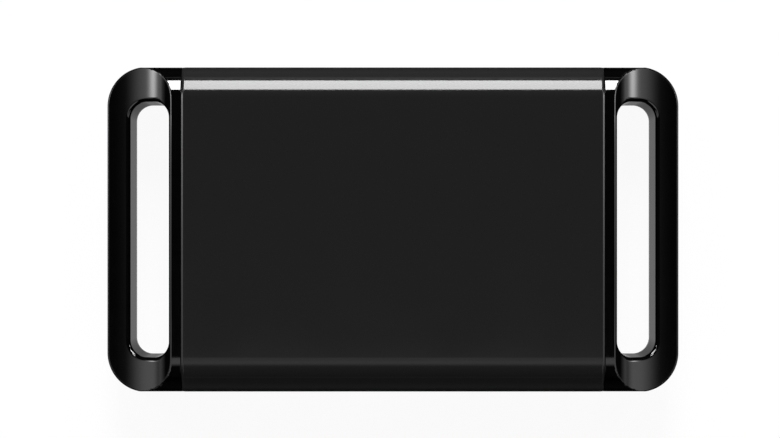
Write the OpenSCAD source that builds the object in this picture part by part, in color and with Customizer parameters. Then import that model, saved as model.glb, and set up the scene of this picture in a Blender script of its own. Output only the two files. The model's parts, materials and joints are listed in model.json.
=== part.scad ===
// GPS tracker with a strap loop at each end: gloss frame, satin front cover, screwed rear cover
// X runs along the length, Y across the width and Z from the rear face at zero to the front

/* [Case] */
// Overall length over both strap loops
case_l = 70.5; // [60.5:0.5:80.5]
// Overall width
case_w = 39.8; // [34:0.2:45]
// Overall thickness
case_h = 15; // [12.5:0.25:17.5]
// Radius of the long edges at the front
edge_r = 4; // [3.2:0.1:4.2]
// Radius of the long edges at the rear
rear_edge_r = 1.8; // [1.2:0.1:2.2]
// Thickness of the frame's long walls
wall_t = 1.5; // [1.2:0.05:1.6]
// Thickness of the frame's end walls
end_wall_t = 2; // [1.6:0.1:2.2]
// Thickness of the frame's front wall
front_wall_t = 1.2; // [0.9:0.05:1.4]
// Plan radius of the cavity's corners
cavity_r = 2; // [1.5:0.1:2.2]
// Radius of the cavity's long edges at the front
cavity_edge_r = 1.5; // [1:0.1:1.8]

/* [Strap loops] */
// Width of each loop's outer bar
bar_w = 2.9; // [2.2:0.1:3.2]
// Width of each strap slot
slot_w = 5.1; // [4.4:0.1:5.4]
// Length of each strap slot
slot_l = 31.4; // [26:0.1:32.4]
// Corner radius of the strap slots
slot_r = 1.8; // [1:0.1:2]
// Ledge between the body's end and the slot
slot_lip = 0.35; // [0.1:0.05:0.6]
// Radius of the hollow scoop that leads from the front face down over each loop
scoop_r = 19.5; // [16:0.5:26]
// Slope of the scoop where it leaves the front face, in degrees
scoop_slope = 48; // [40:1:52]
// How far the loop's underside lies over the rear face
loop_rise = 1; // [0.5:0.1:1.6]
// Radius under the loop's outer edge
tail_r = 2.4; // [1.5:0.1:3]
// Plan radius of the case's four corners
corner_r = 4.7; // [4:0.1:5.2]

/* [Front cover] */
// Thickness of the front cover
cover_t = 1; // [0.8:0.05:1.1]
// Width of the gloss band between the cover and the body's end
band_w = 1.1; // [0.8:0.1:1.8]
// Height of the cover's lower edge over the rear face
skirt_z = 3.2; // [2.6:0.1:4]
// Clearance between the cover and the frame
cover_gap = 0.05; // [0.02:0.01:0.1]
// Width of the bevel on the cover's ends
bevel_w = 0.36; // [0.2:0.02:0.4]
// Depth of the bevel on the cover's ends
bevel_d = 0.3; // [0.2:0.02:0.4]
// Thickness of the bonding tape
tape_t = 0.15; // [0.1:0.01:0.2]
// Margin of the bonding tape inside the flat front
tape_edge = 1.2; // [0.6:0.1:3]

/* [Rear cover] */
// Thickness of the rear cover
rear_t = 1.6; // [1.4:0.05:1.7]
// Clearance round the rear cover
rear_gap = 0.1; // [0.05:0.01:0.15]
// Height of the spigot above the cover
spigot_h = 1.7; // [1.4:0.1:2]
// Wall of the spigot
spigot_t = 1.2; // [1:0.05:1.3]
// Width and height of the gasket's section
gasket_s = 0.8; // [0.6:0.05:0.9]
// Clearance of the gasket in its groove and on the wall
gasket_gap = 0.02; // [0.01:0.01:0.04]
// Length of the blank label
label_l = 26; // [16:1:28]
// Width of the blank label
label_w = 15; // [8:1:20]
// Corner radius of the blank label
label_r = 1.5; // [0.5:0.1:2]
// Thickness of the blank label
label_t = 0.1; // [0.06:0.02:0.16]
// Depth that the label and the pads lie under the rear face
sunk = 0.04; // [0.02:0.01:0.08]

/* [Rear screws] */
// Diameter of the screws' shanks
screw_d = 1.6; // [1.4:0.1:1.8]
// Length of the screws' shanks
screw_l = 4.4; // [3.6:0.1:5]
// Diameter of the screws' heads
head_d = 3.1; // [2.8:0.1:3.4]
// Thickness of the screws' heads
head_t = 0.8; // [0.6:0.05:0.9]
// Depth of the heads under the rear face
head_sunk = 0.2; // [0.1:0.05:0.3]
// Width of the screws' hexagon socket
socket_d = 1.5; // [1.2:0.1:1.6]
// Depth of the screws' hexagon socket
socket_depth = 0.5; // [0.4:0.05:0.55]
// Outer diameter of the brass inserts
insert_d = 2.6; // [2.4:0.1:2.8]
// Length of the brass inserts
insert_l = 3.2; // [2.6:0.1:3.6]
// Diameter of the frame's bosses
boss_d = 4.4; // [4.2:0.1:4.5]
// Clearance of a screw in its insert and its hole
screw_gap = 0.02; // [0.01:0.01:0.05]

/* [Board] */
// Thickness of the circuit board
board_t = 0.8; // [0.6:0.1:1]
// Clearance between the board and the walls
board_gap = 0.3; // [0.2:0.05:0.4]
// Diameter of the posts that carry the board
post_d = 3.4; // [3:0.1:3.6]
// Shank diameter of the board's screws
board_screw_d = 1.2; // [1:0.1:1.4]
// Shank length of the board's screws
board_screw_l = 3.6; // [3:0.1:4]
// Head diameter of the board's screws
board_head_d = 2.4; // [2:0.1:2.6]
// Head thickness of the board's screws
board_head_t = 0.6; // [0.4:0.05:0.8]

/* [Antennas and modules] */
// Clearance between the parts on the board
part_gap = 0.5; // [0.3:0.05:0.6]
// Thickness of the ceramic patch antenna
patch_t = 4; // [3:0.25:4.5]
// Gap between the patch antenna and the frame's front wall
patch_gap = 1.3; // [0.8:0.1:1.6]
// Margin of the silver face on the patch
silver_edge = 1.4; // [0.8:0.1:2]
// Thickness of the silver face
silver_t = 0.06; // [0.04:0.01:0.1]
// Diameter of the patch's feed pin
feed_d = 0.9; // [0.7:0.1:1]
// Thickness of the cellular module's board
modem_t = 0.8; // [0.6:0.1:1]
// Height of the shield can
shield_h = 1.6; // [1.2:0.1:2]
// Sheet thickness of the shield can
shield_t = 0.2; // [0.15:0.01:0.25]
// Length of the SIM card
sim_l = 12.3; // [12:0.1:12.4]
// Width of the SIM card
sim_w = 8.8; // [8.6:0.1:8.9]
// Thickness of the SIM card
sim_t = 0.67; // [0.6:0.01:0.7]
// Wall of the SIM socket
sim_wall = 0.35; // [0.25:0.05:0.38]
// Gap between the cellular flex antenna's ends and the board posts
flex_gap = 1.3; // [1:0.1:4]
// Width of the cellular flex antenna
flex_w = 5; // [3:0.25:5.5]
// Thickness of the cellular flex antenna
flex_t = 0.12; // [0.08:0.01:0.2]

/* [Battery] */
// Gap round the battery cell's sides
cell_side_gap = 0.6; // [0.4:0.1:2]
// Edge radius of the battery cell
cell_r = 1.2; // [0.8:0.1:1.6]
// Thickness of the foam pad under the cell
pad_t = 0.4; // [0.3:0.05:0.5]
// Gap between the cell and the board
cell_gap = 0.2; // [0.15:0.05:0.3]
// Diameter of the battery leads
lead_d = 0.8; // [0.6:0.05:0.9]

/* [Button] */
// Length of the button's face
button_l = 8; // [6:0.25:8.5]
// Height of the button's face
button_h = 3.2; // [2.6:0.1:3.4]
// Travel of the button
button_travel = 0.3; // [0.2:0.05:0.35]
// Clearance round the button's face
button_gap = 0.1; // [0.06:0.01:0.15]
// Rim of the flange that the cover holds in
flange_rim = 0.6; // [0.4:0.05:0.7]
// Thickness of that flange
flange_t = 0.6; // [0.4:0.05:0.7]
// Diameter of the button's stem
stem_d = 2; // [1.8:0.1:2.2]
// Running clearance of the stem in its bore
stem_gap = 0.05; // [0.03:0.01:0.08]
// Cord diameter of the stem's O-ring
seal_d = 0.5; // [0.4:0.02:0.54]
// Width of the tact switch
switch_w = 4.5; // [4:0.1:5]
// Depth of the tact switch
switch_depth = 3; // [2.6:0.1:3.4]
// Height of the tact switch
switch_h = 2; // [1.8:0.1:2.2]
// Diameter of the switch's plunger
plunger_d = 1.2; // [1:0.05:1.3]

/* [Lamps and charging] */
// Diameter of the light pipes
pipe_d = 1.4; // [1:0.1:1.6]
// Distance of each light pipe from the button's flange
pipe_side = 3; // [2.6:0.1:3.2]
// Diameter of the charging pads
pad_d = 2.4; // [2:0.1:2.8]
// Distance between the charging pads
pad_pitch = 4.4; // [4:0.1:4.8]
// Diameter of the charging magnets
magnet_d = 3.4; // [2.8:0.1:3.6]
// Thickness of the charging magnets
magnet_t = 1.4; // [1:0.1:1.5]
// Diameter of the spring contacts' barrels
barrel_d = 1.6; // [1.4:0.1:1.7]
// Diameter of the spring contacts' pins
pin_d = 1; // [0.8:0.05:1.1]

/* [Hidden] */
$fn = 64;
// One overrun serves every cut
over = 1;
half_l = case_l / 2;
half_w = case_w / 2;
body_x = half_l - bar_w - slot_w - slot_lip;
seam_x = body_x - band_w;
slot_x = body_x + slot_lip + slot_w / 2;
// The frame under the cover
frame_w = case_w - 2 * (cover_t + cover_gap);
frame_top = case_h - cover_t - tape_t;
frame_edge_r = edge_r - cover_t;
// The cavity
cavity_x = body_x - end_wall_t;
cavity_y = frame_w / 2 - wall_t;
cavity_top = frame_top - front_wall_t;
// Axis of the scoop over a loop
scoop_x = body_x + scoop_r * sin(scoop_slope);
scoop_z = case_h + scoop_r * cos(scoop_slope);
// The rear cover and what it carries
rear_x = cavity_x - rear_gap;
rear_y = cavity_y - rear_gap;
rear_r = cavity_r - rear_gap;
boss_gap = 0.15;
boss_x = rear_x - spigot_t - boss_gap - boss_d / 2;
boss_y = rear_y - spigot_t - boss_gap - boss_d / 2;
gasket_z = rear_t + (spigot_h - gasket_s) / 2;
gasket_seat = gasket_s - rear_gap;
vent_d = 1;
vent_disc_d = 3.2;
vent_disc_t = 0.2;
vent_x = rear_x - spigot_t - boss_gap - vent_disc_d / 2;
// Heights of the stack: the cell has what the pieces between the two covers leave it
glue_t = 0.15;
cell_z = rear_t + pad_t;
board_top = cavity_top - patch_gap - patch_t - glue_t;
board_z = board_top - board_t;
cell_t = board_z - cell_gap - cell_z;
// Board posts stand inside the spigot, by the long walls
post_gap = 0.5;
post_y = rear_y - spigot_t - boss_gap - board_head_d / 2;
post_x = boss_x - boss_d / 2 - post_gap - post_d / 2 - post_gap;
// Charging parts on the rear cover
pad_edge_t = 0.5;
pad_shank_share = 0.55;
pad_head_share = 0.85;
pad_head_t = 0.5;
pad_x = rear_x - spigot_t - boss_gap - magnet_d / 2 - part_gap;
pad_in = rear_t + pad_head_t;
magnet_y = pad_pitch / 2 + pad_d / 2 + part_gap + magnet_d / 2;
magnet_skin_t = 1;
magnet_z = rear_t - magnet_skin_t;
magnet_gap = 0.03;
cup_t = 0.4;
cup_gap = 0.3;
pin_share = 0.45;
pin_split = pad_in + (board_z - pad_in) * pin_share;
// The battery's connector stands beside the magnet cups
lead_pitch = 1.2;
lead_start_y = 4;
plug_l = 3.6;
plug_w = 4.4;
header_wall = 0.4;
header_gap = 0.05;
header_l = 3.4;
header_x = pad_x - magnet_d / 2 - cup_t - cup_gap - header_l;
header_y = -(pad_pitch / 2 + barrel_d / 2 + part_gap + header_wall + header_gap + plug_w / 2);
plug_x = header_x + header_l - header_wall - header_gap - plug_l;
// The battery cell reaches from the bosses to its guard, its leads and their connector
guard_l = 1.5;
guard_edge = 3.9;
guard_in = 0.6;
cell_end = plug_x - part_gap - 2 * lead_pitch;
cell_low = -(boss_x - boss_d / 2 - cell_side_gap);
cell_l = cell_end - guard_l - cell_low;
cell_x = cell_low + cell_l / 2;
cell_w = 2 * (post_y - board_head_d / 2 - cell_side_gap);
cell_edge_r = min(cell_r, cell_t / 3);
guard_w = cell_w - 2 * guard_edge;
guard_t = cell_t - 2 * guard_in;
lead_z = cell_z + cell_t / 2;
plug_share = 0.5;
plug_h = cell_t * plug_share;
header_low = lead_z - plug_h / 2 - header_gap - header_wall;
// The button lies at the switch's height
button_z = board_top + switch_h / 2;
button_sunk = 0.05;
pocket_depth = flange_t + button_travel + 2 * button_gap;
block_w = button_l + 2 * flange_rim + 2 * button_gap + wall_t;
block_h = button_h + 2 * flange_rim + 2 * button_gap;
block_depth = 1.8;
block_y = cavity_y - block_depth;
switch_stand = 0.7;
switch_y = block_y - switch_stand;
plunger_out = switch_stand + 2 * button_gap;
plunger_tip = switch_y + plunger_out;
button_face_y = half_w - button_sunk;
flange_y = frame_w / 2;
stem_r = stem_d / 2;
bore_r = stem_r + stem_gap;
seal_r = bore_r - stem_gap / 2 - seal_d / 2;
seal_y = (cavity_y + block_y) / 2;
seal_slot = seal_d + 2 * gasket_gap;
// The switch's inner room
switch_wall = 0.5;
dome_h = 0.35;
dome_r = switch_h / 2 - switch_wall / 2 - gasket_gap;
dome_t = 0.1;
room_depth = dome_h + button_travel + 2 * button_gap;
dome_y = switch_y - switch_wall - room_depth;
plunger_in = dome_y + dome_h + button_travel + button_gap / 2;
// Lamps and light pipes
pipe_x = button_l / 2 + flange_rim + pipe_side;
pipe_gap = 0.03;
collar_t = 0.5;
collar_rim = 0.2;
lamp_w = 1.6;
lamp_depth = 1;
lamp_h = 1.2;
lamp_gap = 0.1;
// The board's front between the bosses, the posts and the switch: the patch antenna and the modem
// have half its length each, with the clip between them
room_x = boss_x - boss_d / 2 - board_gap;
room_y = post_y - post_d / 2 - part_gap;
room_low_y = switch_y - switch_depth - part_gap;
clip_w = 1.4;
clip_l = 3;
clip_t = 0.2;
half_room = room_x - part_gap - clip_w / 2;
patch_s = min(half_room, 2 * room_low_y);
patch_x = patch_s / 2 - room_x;
patch_z = board_top + glue_t;
silver_s = patch_s - 2 * silver_edge;
feed_shift = 1.5;
feed_head_t = 0.15;
// Chips between the patch antenna, the wall, the post and the clip, as shares of that field: both
// places, length, width and height
chip_shares = [[0.17, 0.3, 0.3, 0.5, 0.6], [0.52, 0.34, 0.28, 0.58, 0.7], [0.84, 0.3, 0.22, 0.44, 0.5],
    [0.28, 0.82, 0.4, 0.24, 0.4], [0.74, 0.84, 0.3, 0.22, 0.45]];
chip_low_x = clip_w / 2 + part_gap;
chip_high_x = post_x - post_d / 2 - part_gap;
chip_low_y = patch_s / 2 + part_gap;
chip_high_y = cavity_y - board_gap - part_gap;
sim_gap = 0.05;
sim_socket_l = sim_l + 2 * sim_wall + part_gap;
sim_socket_w = sim_w + 2 * (sim_wall + sim_gap);
sim_socket_t = sim_t + 2 * (sim_wall + sim_gap);
sim_x = room_x - sim_socket_l / 2;
sim_y = sim_socket_w / 2 - room_low_y;
modem_l = half_room;
modem_w = room_y - part_gap - sim_y - sim_socket_w / 2;
modem_x = room_x - modem_l / 2;
modem_y = room_y - modem_w / 2;
modem_edge = 0.25;
flex_r = 0.8;
flex_l = 2 * (post_x - post_d / 2 - flex_gap);
flex_y = cavity_y - cavity_edge_r - flex_w / 2;
clip_x = 0;
clip_y = flex_y;

// Outline of a plate with rounded corners, centred
module rounded_rect(l, w, r) {
    square([l - 2 * r, w], center = true);
    square([l, w - 2 * r], center = true);
    for (sx = [-1, 1], sy = [-1, 1])
        translate([sx * (l / 2 - r), sy * (w / 2 - r)]) circle(r);
}

// Upright plate between two heights
module plate(l, w, r, low, high) {
    translate([0, 0, low]) linear_extrude(high - low) rounded_rect(l, w, r);
}

// Ring between two rounded outlines
module plate_ring(l, w, r, t, low, high) {
    translate([0, 0, low]) linear_extrude(high - low) difference() {
        rounded_rect(l, w, r);
        rounded_rect(l - 2 * t, w - 2 * t, max(r - t, r / 4));
    }
}

// Box between two corners
module span(low, high) {
    translate(low) cube(high - low);
}

// Cross-section of the case, with its own radius at the rear and at the front
module section(w, low, high, r_low, r_high) {
    translate([-w / 2, low + r_low]) square([w, high - low - r_low - r_high]);
    translate([r_high - w / 2, low + r_low]) square([w - 2 * r_high, high - low - r_low]);
    if (r_low > 0) {
        translate([r_low - w / 2, low]) square([w - 2 * r_low, high - low - r_high]);
        for (s = [-1, 1]) translate([s * (w / 2 - r_low), low + r_low]) circle(r_low);
    }
    for (s = [-1, 1]) translate([s * (w / 2 - r_high), high - r_high]) circle(r_high);
}

// Sweep an outline of Y and Z along X
module along_x(l) {
    rotate([90, 0, 90]) linear_extrude(l, center = true) children();
}

// Sweep an outline of X and Z along Y
module along_y(l) {
    rotate([90, 0, 0]) linear_extrude(l, center = true) children();
}

// Copies at both ends of the case
module both_ends() {
    for (a = [0, 180]) rotate([0, 0, a]) children();
}

// Copies at four places, mirrored about both axes
module at_corners(x, y) {
    for (sx = [-1, 1], sy = [-1, 1]) translate([sx * x, sy * y, 0]) children();
}

// Outline of X and Z of one half of the case seen from the long side
module side_outline() {
    difference() {
        translate([-over, 0]) square([half_l + 2 * over, case_h]);
        translate([scoop_x, scoop_z]) circle(scoop_r, $fn = 256);
        difference() {
            polygon([[body_x, 0], [body_x + loop_rise, loop_rise], [half_l - tail_r, loop_rise],
                [half_l - tail_r, loop_rise + tail_r], [half_l + over, loop_rise + tail_r],
                [half_l + over, -over], [body_x, -over]]);
            translate([half_l - tail_r, loop_rise + tail_r]) circle(tail_r);
        }
    }
}

// The case's outer form with its loops, before anything is cut
module case_form() {
    intersection() {
        along_x(case_l + 2 * over) section(case_w, 0, case_h, rear_edge_r, edge_r);
        plate(case_l, case_w, corner_r, -over, case_h + over);
        both_ends() along_y(case_w + 2 * over) side_outline();
    }
}

// Bevel that runs over the front and down both sides at each end of the cover
module end_bevels() {
    for (s = [0, 1]) mirror([s, 0, 0]) translate([seam_x, 0, 0]) {
        translate([0, 0, case_h]) along_y(case_w - 2 * edge_r) bevel_outline();
        for (t = [0, 1]) mirror([0, t, 0]) {
            translate([0, half_w - edge_r, case_h - edge_r])
                rotate([0, 90, 0]) rotate([0, 0, 90]) rotate_extrude(angle = 90, $fn = 96)
                translate([edge_r, 0]) rotate(-90) mirror([1, 0]) bevel_outline();
            translate([0, half_w, skirt_z - over])
                linear_extrude(case_h - edge_r - skirt_z + over) bevel_outline();
        }
    }
}

// Outline of what a bevel takes away, from the seam inwards
module bevel_outline() {
    polygon([[-bevel_w, 0], [0, -bevel_d], [over, -bevel_d], [over, over], [-bevel_w, over]]);
}

// The room that the front cover takes round the frame
module cover_room() {
    along_x(2 * seam_x) difference() {
        translate([-case_w, skirt_z - cover_gap]) square([2 * case_w, case_h]);
        section(frame_w, -over, frame_top, 0, frame_edge_r);
    }
}

// The frame's cavity, open at the rear
module cavity() {
    intersection() {
        along_x(2 * cavity_x + over) section(2 * cavity_y, -over, cavity_top, 0, cavity_edge_r);
        plate(2 * cavity_x, 2 * cavity_y, cavity_r, -2 * over, case_h);
    }
}

// Both strap slots
module strap_slots() {
    for (s = [-1, 1]) translate([s * slot_x, 0, 0])
        plate(slot_w, slot_l, slot_r, -over, case_h + over);
}

// Bosses of the rear screws and posts of the board, on the front wall
module frame_posts() {
    at_corners(boss_x, boss_y) translate([0, 0, rear_t])
        cylinder(d = boss_d, h = cavity_top - rear_t + front_wall_t / 2);
    at_corners(post_x, post_y) translate([0, 0, board_top])
        cylinder(d = post_d, h = cavity_top - board_top + front_wall_t / 2);
}

// Bores for the inserts and pilots for the board's screws
module post_bores() {
    at_corners(boss_x, boss_y) {
        translate([0, 0, rear_t - over]) cylinder(d = insert_d, h = insert_l + over);
        translate([0, 0, rear_t]) cylinder(d = screw_d + 2 * screw_gap, h = screw_l + over / 2);
    }
    at_corners(post_x, post_y) translate([0, 0, board_top - over])
        cylinder(d = board_screw_d, h = board_screw_l - board_t + over + screw_gap);
}

// A round or slotted shape whose axis runs along Y, from one distance to another
module on_side(near, far) {
    translate([0, -near, button_z]) rotate([90, 0, 0]) linear_extrude(far - near) children();
}

// Outline of the button with a rim added round it
module button_outline(rim) {
    h = button_h + 2 * rim;
    l = button_l + 2 * rim;
    square([l - h, h], center = true);
    for (s = [-1, 1]) translate([s * (l - h) / 2, 0]) circle(d = h);
}

// Places of the light pipes
module at_pipes() {
    for (s = [-1, 1]) translate([s * pipe_x, 0, 0]) children();
}

// Block that the button's stem runs through
module button_block() {
    span([-block_w / 2, -cavity_y - wall_t / 2, button_z - block_h / 2],
        [block_w / 2, -block_y, button_z + block_h / 2]);
}

// What is cut from the frame for the button and the light pipes
module side_bores() {
    on_side(frame_w / 2 - pocket_depth, half_w + over) button_outline(flange_rim + button_gap);
    on_side(block_y - over, half_w) circle(bore_r);
    at_pipes() on_side(block_y, half_w + over) circle(d = pipe_d + 2 * pipe_gap);
}

module main_frame() {
    color([0.02, 0.02, 0.02]) difference() {
        union() {
            difference() {
                case_form();
                cover_room();
                cavity();
            }
            frame_posts();
            button_block();
        }
        strap_slots();
        post_bores();
        side_bores();
    }
}

module front_cover() {
    color([0.13, 0.13, 0.13]) difference() {
        along_x(2 * (seam_x - cover_gap)) difference() {
            section(case_w, 0, case_h, rear_edge_r, edge_r);
            section(case_w - 2 * cover_t, -over, case_h - cover_t, 0, frame_edge_r);
        }
        span([-case_l, -case_w, -over], [case_l, case_w, skirt_z]);
        end_bevels();
        on_side(frame_w / 2 - over, half_w + over) button_outline(button_gap);
        at_pipes() on_side(frame_w / 2 - over, half_w + over) circle(d = pipe_d + 2 * pipe_gap);
    }
}

module front_tape() {
    color([0.75, 0.72, 0.6]) plate(2 * (seam_x - tape_edge), case_w - 2 * (edge_r + tape_edge),
        tape_edge, frame_top, frame_top + tape_t);
}

module rear_cover() {
    color([0.05, 0.05, 0.05]) difference() {
        union() {
            plate(2 * rear_x, 2 * rear_y, rear_r, 0, rear_t);
            plate_ring(2 * rear_x, 2 * rear_y, rear_r, spigot_t, rear_t, rear_t + spigot_h);
            for (s = [-1, 1]) translate([pad_x, s * magnet_y, rear_t])
                cylinder(d = magnet_d + 2 * cup_t, h = magnet_t - magnet_skin_t + cup_t);
        }
        plate_ring(2 * rear_x + over, 2 * rear_y + over, rear_r + over / 2,
            gasket_seat + over / 2, gasket_z, gasket_z + gasket_s);
        at_corners(boss_x, boss_y) {
            translate([0, 0, -over]) cylinder(d = screw_d + 4 * screw_gap, h = rear_t + 2 * over);
            translate([0, 0, -over]) cylinder(d = head_d + 4 * screw_gap, h = head_sunk + head_t + over);
        }
        plate(label_l + sunk, label_w + sunk, label_r, -over, label_t + sunk);
        for (s = [-1, 1]) {
            translate([pad_x, s * pad_pitch / 2, 0]) pad_form(screw_gap, over);
            translate([pad_x, s * magnet_y, magnet_z])
                cylinder(d = magnet_d + 2 * magnet_gap, h = magnet_t + over);
        }
        translate([-vent_x, 0, -over]) cylinder(d = vent_d, h = rear_t + 2 * over);
    }
}

// A charging pad, or its hole where a clearance and an overrun are given
module pad_form(gap, extra) {
    translate([0, 0, sunk - extra]) cylinder(r = pad_d / 2 + gap, h = pad_edge_t + extra);
    translate([0, 0, sunk]) cylinder(r = pad_d * pad_shank_share / 2 + gap, h = rear_t - sunk + extra);
}

module rear_gasket() {
    color([0.3, 0.3, 0.32]) plate_ring(2 * (cavity_x - gasket_gap), 2 * (cavity_y - gasket_gap),
        cavity_r - gasket_gap, gasket_s - 2 * gasket_gap,
        gasket_z + gasket_gap, gasket_z + gasket_s - gasket_gap);
}

module rear_screws() {
    color([0.3, 0.3, 0.3]) at_corners(boss_x, boss_y) difference() {
        union() {
            translate([0, 0, head_sunk]) cylinder(d = head_d, h = head_t);
            translate([0, 0, head_sunk]) cylinder(d = screw_d, h = screw_l + head_t);
        }
        translate([0, 0, head_sunk - over]) cylinder(d = socket_d, h = socket_depth + over, $fn = 6);
    }
}

module frame_inserts() {
    color([0.8, 0.65, 0.3]) at_corners(boss_x, boss_y) difference() {
        translate([0, 0, rear_t]) cylinder(d = insert_d, h = insert_l);
        translate([0, 0, rear_t - over]) cylinder(d = screw_d + 2 * screw_gap, h = insert_l + 2 * over);
    }
}

module rear_label() {
    color([0.12, 0.12, 0.12]) plate(label_l, label_w, label_r, sunk, sunk + label_t);
}

module vent_membrane() {
    color([0.9, 0.9, 0.9]) translate([-vent_x, 0, rear_t]) cylinder(d = vent_disc_d, h = vent_disc_t);
}

module main_board() {
    board_x = cavity_x - board_gap;
    board_y = cavity_y - board_gap;
    notch_x = boss_x - boss_d / 2 - board_gap;
    notch_y = boss_y - boss_d / 2 - board_gap;
    color([0.05, 0.3, 0.15]) difference() {
        union() {
            span([-board_x, -notch_y, board_z], [board_x, notch_y, board_top]);
            span([-notch_x, -board_y, board_z], [notch_x, board_y, board_top]);
        }
        span([-block_w / 2 - board_gap, -cavity_y, board_z - over],
            [block_w / 2 + board_gap, board_gap - block_y, board_top + over]);
        at_corners(post_x, post_y) translate([0, 0, board_z - over])
            cylinder(d = board_screw_d + 4 * screw_gap, h = board_t + 2 * over);
        translate([patch_x + feed_shift, 0, board_z - over])
            cylinder(d = feed_d + 2 * screw_gap, h = board_t + 2 * over);
    }
}

module board_screws() {
    color([0.7, 0.7, 0.7]) at_corners(post_x, post_y) {
        translate([0, 0, board_z - board_head_t]) cylinder(d = board_head_d, h = board_head_t);
        translate([0, 0, board_z - board_head_t / 2])
            cylinder(d = board_screw_d - 2 * screw_gap, h = board_screw_l + board_head_t / 2);
    }
}

module board_chips() {
    l = chip_high_x - chip_low_x;
    w = chip_high_y - chip_low_y;
    color([0.08, 0.08, 0.08]) for (c = chip_shares)
        translate([c[0] * l - chip_high_x, c[1] * w + chip_low_y, board_top + c[4] * shield_h / 2])
            cube([c[2] * l, c[3] * w, c[4] * shield_h], center = true);
}

module gnss_tape() {
    color([0.9, 0.88, 0.8]) difference() {
        span([patch_x - patch_s / 2, -patch_s / 2, board_top],
            [patch_x + patch_s / 2, patch_s / 2, patch_z]);
        translate([patch_x + feed_shift, 0, board_top - over])
            cylinder(d = 2 * feed_d, h = glue_t + 2 * over);
    }
}

module gnss_antenna() {
    color([0.85, 0.8, 0.7]) difference() {
        span([patch_x - patch_s / 2, -patch_s / 2, patch_z],
            [patch_x + patch_s / 2, patch_s / 2, patch_z + patch_t]);
        translate([patch_x + feed_shift, 0, patch_z - over])
            cylinder(d = feed_d + 2 * screw_gap, h = patch_t + 2 * over);
    }
}

module gnss_electrode() {
    top = patch_z + patch_t;
    color([0.8, 0.8, 0.82]) {
        span([patch_x - silver_s / 2, -silver_s / 2, top],
            [patch_x + silver_s / 2, silver_s / 2, top + silver_t]);
        translate([patch_x + feed_shift, 0, board_z])
            cylinder(d = feed_d, h = top - board_z + silver_t / 2);
        translate([patch_x + feed_shift, 0, top]) cylinder(d = 2 * feed_d, h = silver_t + feed_head_t);
    }
}

module modem_module() {
    color([0.1, 0.35, 0.2]) translate([modem_x, modem_y, 0])
        span([-modem_l / 2, -modem_w / 2, board_top], [modem_l / 2, modem_w / 2, board_top + modem_t]);
}

module modem_shield() {
    l = modem_l / 2 - modem_edge;
    w = modem_w / 2 - modem_edge;
    low = board_top + modem_t;
    color([0.75, 0.75, 0.78]) translate([modem_x, modem_y, 0]) difference() {
        span([-l, -w, low], [l, w, low + shield_h]);
        span([shield_t - l, shield_t - w, low - over],
            [l - shield_t, w - shield_t, low + shield_h - shield_t]);
    }
}

module sim_socket() {
    l = sim_socket_l / 2;
    w = sim_socket_w / 2;
    color([0.7, 0.7, 0.72]) translate([sim_x, sim_y, board_top]) difference() {
        span([-l, -w, 0], [l, w, sim_socket_t]);
        span([sim_wall - l, sim_wall - w, sim_wall], [l + over, w - sim_wall, sim_socket_t - sim_wall]);
    }
}

module sim_card() {
    color([0.92, 0.92, 0.92]) translate([sim_x + part_gap / 2, sim_y, board_top + sim_wall])
        span([-sim_l / 2, -sim_w / 2, 0], [sim_l / 2, sim_w / 2, sim_t]);
}

module cell_antenna() {
    color([0.7, 0.45, 0.2]) translate([0, flex_y, 0])
        plate(flex_l, flex_w, flex_r, cavity_top - flex_t, cavity_top);
}

// Bent spring strip from the board up to the flex antenna
module antenna_clip() {
    top = cavity_top - flex_t;
    color([0.85, 0.7, 0.35]) translate([clip_x - clip_w / 2, clip_y, 0]) {
        span([0, -clip_l / 2, board_top], [clip_w, clip_l / 2, board_top + clip_t]);
        span([0, -clip_l / 2, board_top], [clip_w, clip_t - clip_l / 2, top]);
        span([0, -clip_l / 2, top - clip_t], [clip_w, clip_l / 2, top]);
    }
}

module battery_cell() {
    color([0.7, 0.7, 0.72]) translate([cell_x, 0, 0]) intersection() {
        plate(cell_l, cell_w, cell_r, cell_z, cell_z + cell_t);
        along_x(cell_l) section(cell_w, cell_z, cell_z + cell_t, cell_edge_r, cell_edge_r);
    }
}

module battery_guard() {
    x = cell_x + cell_l / 2;
    color([0.8, 0.6, 0.15]) span([x, -guard_w / 2, lead_z - guard_t / 2],
        [x + guard_l, guard_w / 2, lead_z + guard_t / 2]);
}

module battery_pad() {
    color([0.25, 0.25, 0.25]) translate([cell_x, 0, 0])
        plate(cell_l - 4 * cell_r, cell_w - 4 * cell_r, cell_r, rear_t, cell_z);
}

// One insulated lead through its four corner points, with round bends
module lead(points) {
    for (i = [0 : len(points) - 2]) {
        d = points[i + 1] - points[i];
        translate(points[i]) rotate([0, 90, atan2(d[1], d[0])]) cylinder(d = lead_d, h = norm(d));
    }
    for (i = [1 : len(points) - 2]) translate(points[i]) sphere(d = lead_d);
}

module battery_leads() {
    for (i = [0, 1]) {
        y0 = lead_start_y + (0.5 - i) * lead_pitch;
        y1 = header_y + (0.5 - i) * lead_pitch;
        x = cell_end + (2 - i) * lead_pitch - lead_pitch / 2;
        color(i == 0 ? [0.7, 0.05, 0.05] : [0.03, 0.03, 0.03])
            lead([[cell_end, y0, lead_z], [x, y0, lead_z], [x, y1, lead_z], [plug_x, y1, lead_z]]);
    }
}

module battery_plug() {
    color([0.9, 0.9, 0.88]) translate([plug_x, header_y, lead_z])
        span([0, -plug_w / 2, -plug_h / 2], [plug_l, plug_w / 2, plug_h / 2]);
}

module battery_header() {
    w = plug_w / 2 + header_gap;
    high = lead_z + plug_h / 2 + header_gap;
    color([0.85, 0.85, 0.8]) difference() {
        span([header_x, header_y - w - header_wall, header_low],
            [header_x + header_l, header_y + w + header_wall, board_z]);
        span([header_x - over, header_y - w, header_low + header_wall],
            [header_x + header_l - header_wall, header_y + w, high]);
    }
}

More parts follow.
